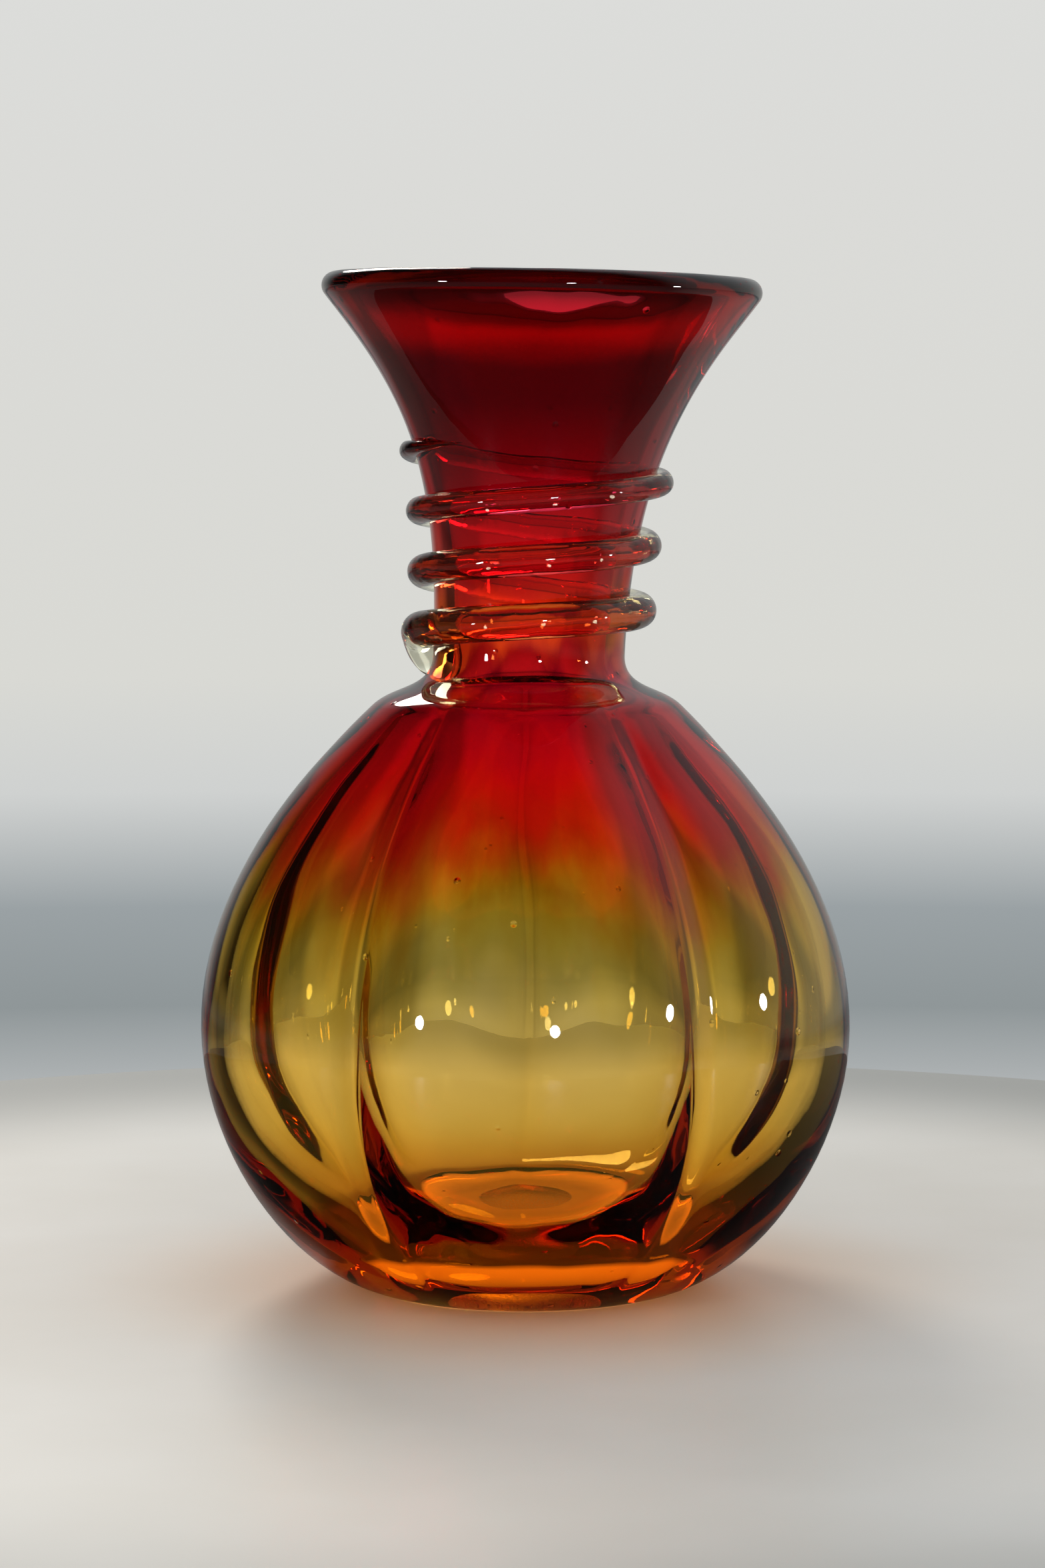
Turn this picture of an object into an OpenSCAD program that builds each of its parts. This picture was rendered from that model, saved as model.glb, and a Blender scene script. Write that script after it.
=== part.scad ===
// Hand blown vase of amber glass struck to ruby, with a trail of clear glass round its neck.
// Millimetres, +Z up. The origin is the centre of the foot, on the surface the vase stands on.
// The front, where one lobe faces out, is -Y. Turns run anticlockwise seen from above.

/* [Vessel] */
// Height of the vase to the middle of its lip
height = 177; // [174:0.5:184]
// Body radius at its widest, over a lobe
body_r = 57.7; // [54:0.1:61]
// Height of the widest part of the body
body_z = 46; // [42:0.5:49]
// Radius of the flat that the vase stands on
foot_r = 28; // [25:0.5:30]
// Radius at the narrowest part of the neck
neck_r = 16.8; // [15.5:0.1:18.5]
// Height of the narrowest part of the neck
neck_z = 111; // [109:0.5:112]
// Radius of the mouth over its lip
mouth_r = 38.4; // [36:0.1:41]

/* [Lobes] */
// Lobes blown into the body
lobes = 5; // [4:1:8]
// How far a lobe bulges: its arc's centre lies this share of the radius off the axis
lobe_bulge = 0.3; // [0:0.05:0.35]
// Extra bulge inside, which leaves a rib of thicker glass under each groove
rib_bulge = 0.13; // [0:0.01:0.15]
// How sharp the groove between two lobes is
groove_crease = 0.98; // [0.7:0.01:0.98]

/* [Glass thickness] */
// Wall of the body in the middle of a lobe
body_wall = 4.6; // [3:0.1:5.2]
// Wall of the neck
neck_wall = 3.5; // [2.5:0.1:4]
// Thickness of the fire-polished lip
lip_wall = 4.8; // [3.8:0.1:5.2]
// Thickness of the floor at its middle
floor_wall = 8.5; // [7:0.5:11]

/* [Hand work] */
// How far the mouth has leaned to the right of the foot
lean = 2.9; // [0:0.1:5]
// Fall of the lip towards the right, in degrees
lip_fall = 1.1; // [0:0.1:1.5]
// Radius of the dish where the pontil mark is ground away
pontil_r = 10.5; // [8:0.5:13]
// Depth of that dish
pontil_depth = 1.6; // [1:0.1:2.5]

/* [Trail] */
// Turns of the trail round the neck, from the left of the neck to the end of its tail
trail_turns = 3.15; // [2:0.05:3.2]
// Rise of the trail in one turn
trail_pitch = 10.5; // [9.5:0.1:10.8]
// Height of the trail's first turn at the left of the neck
trail_z = 115; // [114:0.1:116]
// Width of the trail at the start of its first turn
trail_w = 6.5; // [5:0.1:7]
// Share of that width left where the tail begins
tail_share = 0.6; // [0.4:0.05:0.9]

/* [Smoothness] */
// Columns of facets in one lobe
lobe_columns = 12; // [10:1:14]
// Sides of the trail's section
trail_sides = 10; // [8:1:12]

/* [Hidden] */

columns = lobes * lobe_columns;
column_turn = 360 / columns;
front = 270;
left = 180;

// Heights between which the lobes grow out of the foot, and die away under the neck.
lobe_rise = [0, 24];
lobe_fall = [92, 106];
// Heights between which the neck leans over, and between which the lip tips.
lean_rise = [88, 165];
tip_rise = [110, height];

// An outline's knot is [radius, height, heading, reach back, reach ahead]. The heading is the
// outline's direction there, from outwards at 0 to upwards at 90.
lip_heading = 54;
lip_r = lip_wall / 2;
rim_r = mouth_r - lip_r * (1 - sin(lip_heading));
rim_z = height - lip_r * (1 + cos(lip_heading));
outer_knots = [
    [foot_r, 0, 13, 0, 14.5],
    [body_r, body_z, 90, 21, 24],
    [neck_r + 10.4, neck_z - 8.8, 138, 18, 5],
    [neck_r, neck_z, 90, 6, 16],
    [neck_r + 6, height - 28, 69, 11, 12.5],
    [rim_r, rim_z, lip_heading, 5, 0],
];
outer_steps = [9, 8, 6, 5, 5];

// The wall behind each knot of the outline, from the body up.
walls = [body_wall, neck_wall + 0.9, neck_wall, neck_wall, lip_wall];
inner_knots = [
    [0, floor_wall, 0, 0, 10],
    [foot_r - 4, floor_wall + 1, 12, 6, 10],
    for (k = [0 : len(walls) - 1]) behind(outer_knots[k + 1], walls[k]),
];
inner_steps = [2, 6, 7, 6, 5, 4];

// The trail's run, in degrees past the left of the neck: where it starts, where the tail begins
// to draw out, and where it ends in a point.
trail_start = -column_turn * round(30 / column_turn);
trail_end = column_turn * round(360 * trail_turns / column_turn);
tail_from = trail_end - 80;
// Share of the trail's width that the middle of its round section stands off the neck.
trail_lift = 0.34;
// The first gather hangs this far below the turn that follows, and swells by a share of its width
// over a turn either side of the left.
blob_sag = 5;
blob_swell = 0.08;
blob_turn = 20;
// The early turns run level across the front and climb behind: how far they drop at the right,
// and how far they lift at the front. This dies away between two turns of the run.
drop_right = 1.4;
lift_front = 0.8;
level_fall = [200, 800];
// Gap left between the trail and the neck's facets.
seam = 0.01;

// ---- curves ---------------------------------------------------------------------------------

// 0 below the first height of a pair, 1 above the second, and a smooth S between them.
function ease(pair, z) =
    let (u = min(max((z - pair[0]) / (pair[1] - pair[0]), 0), 1))
    u * u * (3 - 2 * u);

// The point a distance s along a knot's heading.
function ahead(knot, s) = [knot[0] + s * cos(knot[2]), knot[1] + s * sin(knot[2])];

// The same knot on the inside of a wall, which lies to the left of the outline.
function behind(knot, wall) = [
    knot[0] - wall * sin(knot[2]),
    knot[1] + wall * cos(knot[2]),
    knot[2],
    knot[3],
    knot[4],
];

// The point a share t along the curve between two knots.
function between(a, b, t) =
    let (u = 1 - t)
    u * u * u * ahead(a, 0)
    + 3 * u * u * t * ahead(a, a[4])
    + 3 * u * t * t * ahead(b, -b[3])
    + t * t * t * ahead(b, 0);

// The points of an outline through its knots, with a number of steps from each to the next.
function outline(knots, steps) = [
    for (k = [0 : len(steps) - 1], i = [0 : steps[k] - 1])
        between(knots[k], knots[k + 1], i / steps[k]),
    ahead(knots[len(knots) - 1], 0),
];

// The rounded lip, from the end of the outer outline to the end of the inner one.
function lip_arc(steps) = [
    for (i = [1 : steps - 1])
        let (a = lip_heading - 90 + 180 * i / steps)
        [
            rim_r - lip_r * sin(lip_heading) + lip_r * cos(a),
            rim_z + lip_r * cos(lip_heading) + lip_r * sin(a),
        ],
];

// Radius of a lobed section at a turn, as a share of its largest radius.
function lobe_share(turn, bulge) =
    let (
        a = acos(groove_crease * cos(lobes * (turn - front))) / lobes,
        r = 1 - bulge
    )
    bulge * cos(a) + sqrt(r * r - pow(bulge * sin(a), 2));

// How far the lobes stand out at a height: 0 on the round foot and neck, 1 on the body.
function lobed(z) = ease(lobe_rise, z) * (1 - ease(lobe_fall, z));

// A point of the glass, leaned and tipped the way the hot neck settled.
function settled(r, turn, z) = [
    r * cos(turn) + lean * ease(lean_rise, z),
    r * sin(turn),
    z - r * cos(turn) * sin(lip_fall * ease(tip_rise, z)),
];

// One ring of points round the vessel through a point of an outline.
function ring(point, bulge) = [
    for (c = [0 : columns - 1])
        let (
            turn = c * column_turn,
            share = 1 - lobed(point[1]) * (1 - lobe_share(turn, bulge))
        )
        settled(point[0] * share, turn, point[1]),
];

// ---- meshes ---------------------------------------------------------------------------------

// Triangles between rings of n points that follow each other, with their outside to the right.
function band(rings, n) = [
    for (i = [0 : rings - 2], j = [0 : n - 1])
        let (
            a = i * n + j,
            b = i * n + (j + 1) % n
        )
        each [[a, a + n, b + n], [a, b + n, b]],
];

// ---- blown vessel ---------------------------------------------------------------------------

outer_line = outline(outer_knots, outer_steps);
inner_line = outline(inner_knots, inner_steps);

module blown_skin() {
    inner_down = [for (i = [len(inner_line) - 1 : -1 : 1]) inner_line[i]];
    outer_up = concat(outer_line, lip_arc(6));
    rings = concat(
        [for (p = outer_up) ring(p, lobe_bulge)],
        [for (p = inner_down) ring(p, lobe_bulge + rib_bulge)]
    );
    count = len(rings);
    floor_point = count * columns;
    last = (count - 1) * columns;
    points = concat([for (r = rings) each r], [[0, 0, floor_wall]]);
    foot_face = [for (c = [0 : columns - 1]) c];
    floor_faces = [
        for (c = [0 : columns - 1]) [last + c, floor_point, last + (c + 1) % columns]
    ];
    polyhedron(points, concat(band(count, columns), [foot_face], floor_faces), convexity = 6);
}

// The glass bubble: foot, lobed body, neck, flared mouth and lip in one piece, with its pontil
// mark ground to a shallow dish.
module blown_vessel() {
    dish_r = (pontil_r * pontil_r + pontil_depth * pontil_depth) / (2 * pontil_depth);
    color("darkorange", 0.6)
        difference() {
            blown_skin();
            translate([0, 0, pontil_depth - dish_r])
                sphere(dish_r, $fn = 96);
        }
}

// ---- neck trail -----------------------------------------------------------------------------

// Radius of the neck's facets at a height, on a line between two columns of corners.
function neck_at(z) =
    lookup(z, [for (p = outer_line) if (p[1] > body_z) [p[1], p[0]]]);

// Height of the trail's middle at a turn a past the left of the neck.
function trail_height(a) =
    trail_z + trail_pitch * a / 360
    - blob_sag * (1 - ease([trail_start, 0], a))
    + (lift_front * sin(a) - drop_right * (1 - cos(a)) / 2) * (1 - ease(level_fall, a));

// Width of the trail there: a swollen start, a slow taper, and a tail drawn out to a point.
function trail_width(a) =
    let (
        taper = 1 - (1 - tail_share) * a / tail_from,
        swell = 1 + blob_swell * exp(-pow(a / blob_turn, 2)),
        start = (a - trail_start) / (3 * column_turn),
        round_start = sqrt(1 - pow(1 - min(start + 0.08, 1), 2)),
        tail = sqrt(1 - ease([tail_from, trail_end + column_turn / 2], a))
    )
    trail_w * taper * swell * round_start * tail;

// One section of the trail: a round rod that has sunk on to the neck along a flat.
function trail_section(a) =
    let (
        r = trail_width(a) / 2,
        z = trail_height(a),
        lift = 2 * trail_lift,
        spread = asin(lift),
        n = trail_sides
    )
    [
        for (j = [0 : n - 1])
            let (
                b = -spread + (180 + 2 * spread) * j / (n - 1),
                out = r * (lift + sin(b)),
                up = z + r * cos(b),
                far = out / (r * (1 + lift))
            )
            settled(seam + out + neck_at(up) * (1 - far) + neck_at(z) * far, left + a, up),
    ];

// The clear trail: a blob on the shoulder, wound up the neck and drawn out to a tail.
module neck_trail() {
    n = trail_sides;
    rings = [for (a = [trail_start : column_turn : trail_end]) trail_section(a)];
    last = (len(rings) - 1) * n;
    points = [for (r = rings) each r];
    start_face = [for (j = [0 : n - 1]) j];
    end_face = [for (j = [n - 1 : -1 : 0]) last + j];
    color("lightyellow", 0.6)
        polyhedron(points, concat(band(len(rings), n), [start_face, end_face]), convexity = 6);
}

blown_vessel();
neck_trail();
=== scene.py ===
"""Hand blown vase of amber glass struck to ruby, with a clear trail wound round its neck.

Everything is in metres, +Z up, with the origin at the centre of the foot and the front at -Y. Turns
run anticlockwise seen from above. The vase is two pieces of glass: the blown vessel and the trail.
"""

import logging
import math
from dataclasses import dataclass, field
from enum import Enum

import bpy
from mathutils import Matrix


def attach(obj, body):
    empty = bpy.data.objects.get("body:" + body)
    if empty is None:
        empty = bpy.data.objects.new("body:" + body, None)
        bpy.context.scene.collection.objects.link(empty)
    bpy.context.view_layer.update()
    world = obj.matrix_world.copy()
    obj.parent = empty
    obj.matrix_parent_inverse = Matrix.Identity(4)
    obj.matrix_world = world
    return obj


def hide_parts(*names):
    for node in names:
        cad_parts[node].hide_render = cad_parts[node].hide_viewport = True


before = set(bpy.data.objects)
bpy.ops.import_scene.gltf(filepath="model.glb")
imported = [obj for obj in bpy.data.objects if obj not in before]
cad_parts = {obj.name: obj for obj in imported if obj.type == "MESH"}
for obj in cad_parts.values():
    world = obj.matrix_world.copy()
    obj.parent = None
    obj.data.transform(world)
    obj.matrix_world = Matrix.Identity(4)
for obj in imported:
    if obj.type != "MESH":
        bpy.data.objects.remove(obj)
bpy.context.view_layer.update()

log = logging.getLogger("vase")

MM = 0.001
FRONT = math.radians(270)
LEFT = math.radians(180)
SMOOTH = {"interpolation_type": "SMOOTHSTEP"}


# ---- small tools ---------------------------------------------------------------------------------


def linear(code: str) -> tuple[float, float, float, float]:
    """Turns an sRGB hex colour into the linear colour that a shader takes.

    Args:
        code: the colour, such as "#ffb000".

    Returns:
        Linear red, green and blue, and a full alpha.
    """
    parts = [int(code[i : i + 2], 16) / 255 for i in (1, 3, 5)]
    red, green, blue = (c / 12.92 if c <= 0.04045 else ((c + 0.055) / 1.055) ** 2.4 for c in parts)
    return red, green, blue, 1.0


def add_node(
    tree: bpy.types.NodeTree, kind: str, *values, into: dict | None = None, **settings
) -> bpy.types.Node:
    """Adds one node to a tree, sets it up and links it.

    Args:
        tree: the tree that takes the node.
        kind: the node's type, such as "ShaderNodeMath".
        values: what goes into its first sockets, in order: a number, a node or a node's output.
        into: what goes into other sockets, by their names or numbers.
        settings: the node's own settings, by name.

    Returns:
        The new node.
    """
    node = tree.nodes.new(kind)
    for name, value in settings.items():
        setattr(node, name, value)
    live = [socket for socket in node.inputs if socket.enabled]
    for key, value in {**dict(enumerate(values)), **(into or {})}.items():
        if value is None:
            continue
        socket = live[key] if isinstance(key, int) else next(s for s in live if s.name == key)
        if isinstance(value, bpy.types.Node):
            value = next(s for s in value.outputs if s.enabled)
        if isinstance(value, bpy.types.NodeSocket):
            tree.links.new(value, socket)
        else:
            socket.default_value = value
    return node


class Kind(Enum):
    """The kinds of named input that a shape tree takes."""

    NUMBER = "NodeSocketFloat"
    COUNT = "NodeSocketInt"
    OBJECT = "NodeSocketObject"
    FINISH = "NodeSocketMaterial"


class Slot(Enum):
    """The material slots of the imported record."""

    VESSEL = "vessel_glass"
    TRAIL = "trail_glass"


class ShapeTree:
    """A Geometry Nodes tree with named inputs that makes one finished mesh."""

    def __init__(self, name: str) -> None:
        """Starts an empty tree of that name."""
        self.name = name
        self.tree = bpy.data.node_groups.new(name, "GeometryNodeTree")
        self.tree.interface.new_socket("Geometry", in_out="OUTPUT", socket_type="NodeSocketGeometry")
        self.values: dict[str, object] = {}
        self.group_input: bpy.types.Node | None = None

    def declare(self, kind: Kind, **values: object) -> None:
        """Adds named inputs of one kind, each with the value that the modifier gets.

        Args:
            kind: what the inputs hold.
            values: their names, with underscores for spaces, and their values.
        """
        for name, value in values.items():
            socket = self.tree.interface.new_socket(
                name.replace("_", " "), in_out="INPUT", socket_type=kind.value
            )
            self.values[socket.identifier] = value

    def add(self, kind: str, *values, into: dict | None = None, **settings) -> bpy.types.Node:
        """Adds one node to this tree, as add_node says."""
        return add_node(self.tree, kind, *values, into=into, **settings)

    def read(self, name: str) -> bpy.types.NodeSocket:
        """The output that carries a named input."""
        if self.group_input is None:
            self.group_input = self.add("NodeGroupInput")
        return self.group_input.outputs[name.replace("_", " ")]

    def finish(self, geometry: bpy.types.Node) -> None:
        """Sends the finished geometry out of the tree."""
        self.add("NodeGroupOutput", geometry)

    def bake(self, piece: str) -> bpy.types.Object:
        """Runs the tree and returns its result as a plain mesh object.

        Args:
            piece: the name of the new object.

        Returns:
            The object, at the origin, with no modifier.
        """
        host = bpy.data.objects.new(f"{piece}_host", bpy.data.meshes.new(f"{piece}_host"))
        bpy.context.scene.collection.objects.link(host)
        modifier = host.modifiers.new(self.name, "NODES")
        modifier.node_group = self.tree
        for identifier, value in self.values.items():
            modifier[identifier] = value
        graph = bpy.context.evaluated_depsgraph_get()
        mesh = bpy.data.meshes.new_from_object(host.evaluated_get(graph), depsgraph=graph)
        host.modifiers.remove(modifier)
        bpy.data.objects.remove(host)
        for i in reversed(range(len(mesh.materials))):
            if mesh.materials[i] is None:
                mesh.materials.pop(index=i)
        mesh.name = piece
        made = bpy.data.objects.new(piece, mesh)
        bpy.context.scene.collection.objects.link(made)
        return made


# ---- finishes ------------------------------------------------------------------------------------


@dataclass(frozen=True)
class GlassBody:
    """What all the glass of the vase shares: soda-lime glass from one pot, fire polished.

    Fire polishing leaves a skin with no grain at all, so its roughness is nothing. The colour of
    the metal is in its depth, so thick glass is deeper than thin.
    """

    depth_colour: str
    depth_density: float
    ior: float = 1.5

    def principled(
        self, tree: bpy.types.NodeTree, base: object, height: object, roughness: object = 0.0
    ) -> None:
        """Puts the glass shader and its absorption into a material's tree.

        Args:
            tree: the material's tree.
            base: the tint that the surface takes, a colour or a node.
            height: the node that gives the relief of the skin, in metres.
            roughness: the surface's roughness, a number or a node.
        """
        skin = add_node(tree, "ShaderNodeBump", into={"Height": height, "Distance": 1.0})
        shader = add_node(
            tree,
            "ShaderNodeBsdfPrincipled",
            into={
                "Base Color": base,
                "Roughness": roughness,
                "IOR": self.ior,
                "Transmission Weight": 1.0,
                "Normal": skin,
            },
        )
        depth = add_node(
            tree,
            "ShaderNodeVolumeAbsorption",
            into={"Color": linear(self.depth_colour), "Density": self.depth_density},
        )
        add_node(tree, "ShaderNodeOutputMaterial", into={"Surface": shader, "Volume": depth})


AMBER = GlassBody("#fbeb99", 265.0)
STRAW = GlassBody("#fbf3c8", 60.0)


def fill_ramp(ramp: bpy.types.Node, stops: list[tuple[float, str]]) -> None:
    """Puts colours into a colour ramp node.

    Args:
        ramp: the node.
        stops: each colour's position from 0 to 1, and the colour.
    """
    points = ramp.color_ramp.elements
    for point, (position, code) in zip((points[0], points[1]), (stops[0], stops[-1])):
        point.position, point.color = position, linear(code)
    for position, code in stops[1:-1]:
        points.new(position).color = linear(code)


def empty_material(name: str) -> bpy.types.Material:
    """A new material of that name with an empty tree."""
    material = bpy.data.materials.new(name)
    material.use_nodes = True
    material.node_tree.nodes.clear()
    return material


@dataclass(frozen=True)
class StruckGlass:
    """Amber soda-lime glass, blown, with its upper part struck to ruby by reheating.

    The amber lies in the depth of the glass, so the walls are honey and the thick foot is orange.
    The ruby comes with the heat of the last warming: deepest at the lip, crimson on the shoulder,
    and fading through orange in streaks where the body stayed cooler. It runs lower in the grooves.
    Seeds, which are bubbles of the melt caught just under the skin, bend the light like tiny lenses.
    """

    name: str = "blown_glass_amber_struck_ruby"
    glass: GlassBody = AMBER
    height: float = 177 * MM
    streak_width: float = 9 * MM
    streak_stretch: float = 0.22
    streak_run: float = 14 * MM
    groove_run: float = 5 * MM
    calm_rise: tuple[float, float] = (106 * MM, 128 * MM)
    calm_share: float = 0.04
    seed_gap: float = 11 * MM
    seed_r: float = 0.7 * MM
    seed_rise: float = 0.16 * MM
    lobes: int = 5
    tints: tuple[tuple[float, str], ...] = (
        (0, "#ffffff"),
        (50, "#ffffff"),
        (57, "#fbf8d8"),
        (64, "#f8eeac"),
        (70, "#ecc860"),
        (75, "#ec9c48"),
        (80, "#e47040"),
        (85, "#f05850"),
        (91, "#f04074"),
        (99, "#dc3080"),
        (104, "#d03080"),
        (107.5, "#b82c68"),
        (111, "#ff9474"),
        (118, "#ff8068"),
        (125, "#ec4c60"),
        (134, "#e43868"),
        (140, "#cc3068"),
        (147, "#b42c5c"),
        (156, "#983058"),
        (164, "#983058"),
        (167, "#dc2850"),
        (171.5, "#dc2850"),
        (173.5, "#7c2440"),
        (177, "#7c2440"),
    )

    def build(self) -> bpy.types.Material:
        """Makes the material."""
        material = empty_material(self.name)
        tree = material.node_tree
        place = add_node(tree, "ShaderNodeTexCoord").outputs["Object"]
        axes = add_node(tree, "ShaderNodeSeparateXYZ", place)
        turn = add_node(tree, "ShaderNodeMath", axes.outputs["Y"], axes.outputs["X"], operation="ARCTAN2")
        lobe_turn = add_node(tree, "ShaderNodeMath", turn, float(self.lobes), operation="MULTIPLY")
        # Sine of five turns is -1 over a lobe at the front and 1 in a groove.
        groove = add_node(tree, "ShaderNodeMath", lobe_turn, operation="SINE")
        pace = 1 / self.streak_width
        tall = add_node(
            tree, "ShaderNodeMapping", place, into={"Scale": (pace, pace, self.streak_stretch * pace)}
        )
        streaks = add_node(tree, "ShaderNodeTexNoise", into={"Vector": tall, "Scale": 1.0, "Detail": 3.0})
        centred = add_node(tree, "ShaderNodeMath", streaks.outputs[0], 0.5, operation="SUBTRACT")
        run = add_node(tree, "ShaderNodeMath", centred, 2 * self.streak_run, operation="MULTIPLY")
        low = add_node(tree, "ShaderNodeMath", groove, self.groove_run, run, operation="MULTIPLY_ADD")
        calm = add_node(
            tree, "ShaderNodeMapRange", axes.outputs["Z"], *self.calm_rise, 1.0, self.calm_share
        )
        struck = add_node(tree, "ShaderNodeMath", low, calm, axes.outputs["Z"], operation="MULTIPLY_ADD")
        share = add_node(tree, "ShaderNodeMath", struck, self.height, operation="DIVIDE")
        ramp = add_node(tree, "ShaderNodeValToRGB", share)
        fill_ramp(ramp, [(height * MM / self.height, code) for height, code in self.tints])
        cells = add_node(tree, "ShaderNodeTexVoronoi", into={"Vector": place, "Scale": 1 / self.seed_gap})
        near = self.seed_r / self.seed_gap
        seeds = add_node(
            tree,
            "ShaderNodeMapRange",
            cells.outputs["Distance"],
            *(0.0, near, self.seed_rise, 0.0),
            **SMOOTH,
        )
        self.glass.principled(tree, ramp.outputs["Color"], seeds)
        return material


@dataclass(frozen=True)
class ClearGlass:
    """Near-clear soda-lime glass, wound on hot and left as it set.

    Iron in the sand gives it a faint straw tint that shows where light runs along the strand. Its
    drawn skin has fine lengthways lines.
    """

    name: str = "trailed_glass_pale_straw"
    glass: GlassBody = STRAW
    cord: float = 3 * MM
    cord_rise: float = 0.12 * MM

    def build(self) -> bpy.types.Material:
        """Makes the material."""
        material = empty_material(self.name)
        tree = material.node_tree
        place = add_node(tree, "ShaderNodeTexCoord").outputs["Object"]
        cords = add_node(
            tree, "ShaderNodeTexNoise", into={"Vector": place, "Scale": 1 / self.cord, "Detail": 1.0}
        )
        tint = add_node(
            tree,
            "ShaderNodeMix",
            cords.outputs[0],
            into={"A": linear("#fffff4"), "B": linear("#f8f6df")},
            data_type="RGBA",
        )
        relief = add_node(tree, "ShaderNodeMath", cords.outputs[0], self.cord_rise, operation="MULTIPLY")
        self.glass.principled(tree, tint, relief)
        return material


@dataclass(frozen=True)
class GroundGlass:
    """The same amber glass ground flat and left unpolished, where the pontil was knocked off.

    The grit leaves a fine frost that scatters what is under the foot.
    """

    name: str = "ground_glass_amber_pontil"
    glass: GlassBody = AMBER
    grit: float = 0.35 * MM
    pit_share: float = 0.1
    frost: tuple[float, float] = (0.22, 0.42)

    def build(self) -> bpy.types.Material:
        """Makes the material."""
        material = empty_material(self.name)
        tree = material.node_tree
        place = add_node(tree, "ShaderNodeTexCoord").outputs["Object"]
        grain = add_node(
            tree, "ShaderNodeTexNoise", into={"Vector": place, "Scale": 1 / self.grit, "Detail": 2.0}
        )
        rough = add_node(tree, "ShaderNodeMapRange", grain.outputs[0], 0.3, 0.7, *self.frost)
        pit = self.pit_share * self.grit
        pits = add_node(tree, "ShaderNodeMath", grain.outputs[0], pit, operation="MULTIPLY")
        self.glass.principled(tree, linear("#ffffff"), pits, rough)
        return material


# ---- the outline of the blown glass --------------------------------------------------------------


@dataclass(frozen=True)
class Knot:
    """A point that the outline runs through, with its heading from outwards at 0 to upwards at 90."""

    radius: float
    height: float
    heading: float
    back: float = 0.0
    ahead: float = 0.0

    def at(self, reach: float) -> tuple[float, float, float]:
        """The point a distance along the heading, in the plane of the outline."""
        turn = math.radians(self.heading)
        return self.radius + reach * math.cos(turn), 0.0, self.height + reach * math.sin(turn)

    def behind(self, wall: float) -> "Knot":
        """The same knot on the inside of a wall, as it is met going down."""
        turn = math.radians(self.heading)
        radius = self.radius - wall * math.sin(turn)
        return Knot(radius, self.height + wall * math.cos(turn), self.heading + 180, self.ahead, self.back)


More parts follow.
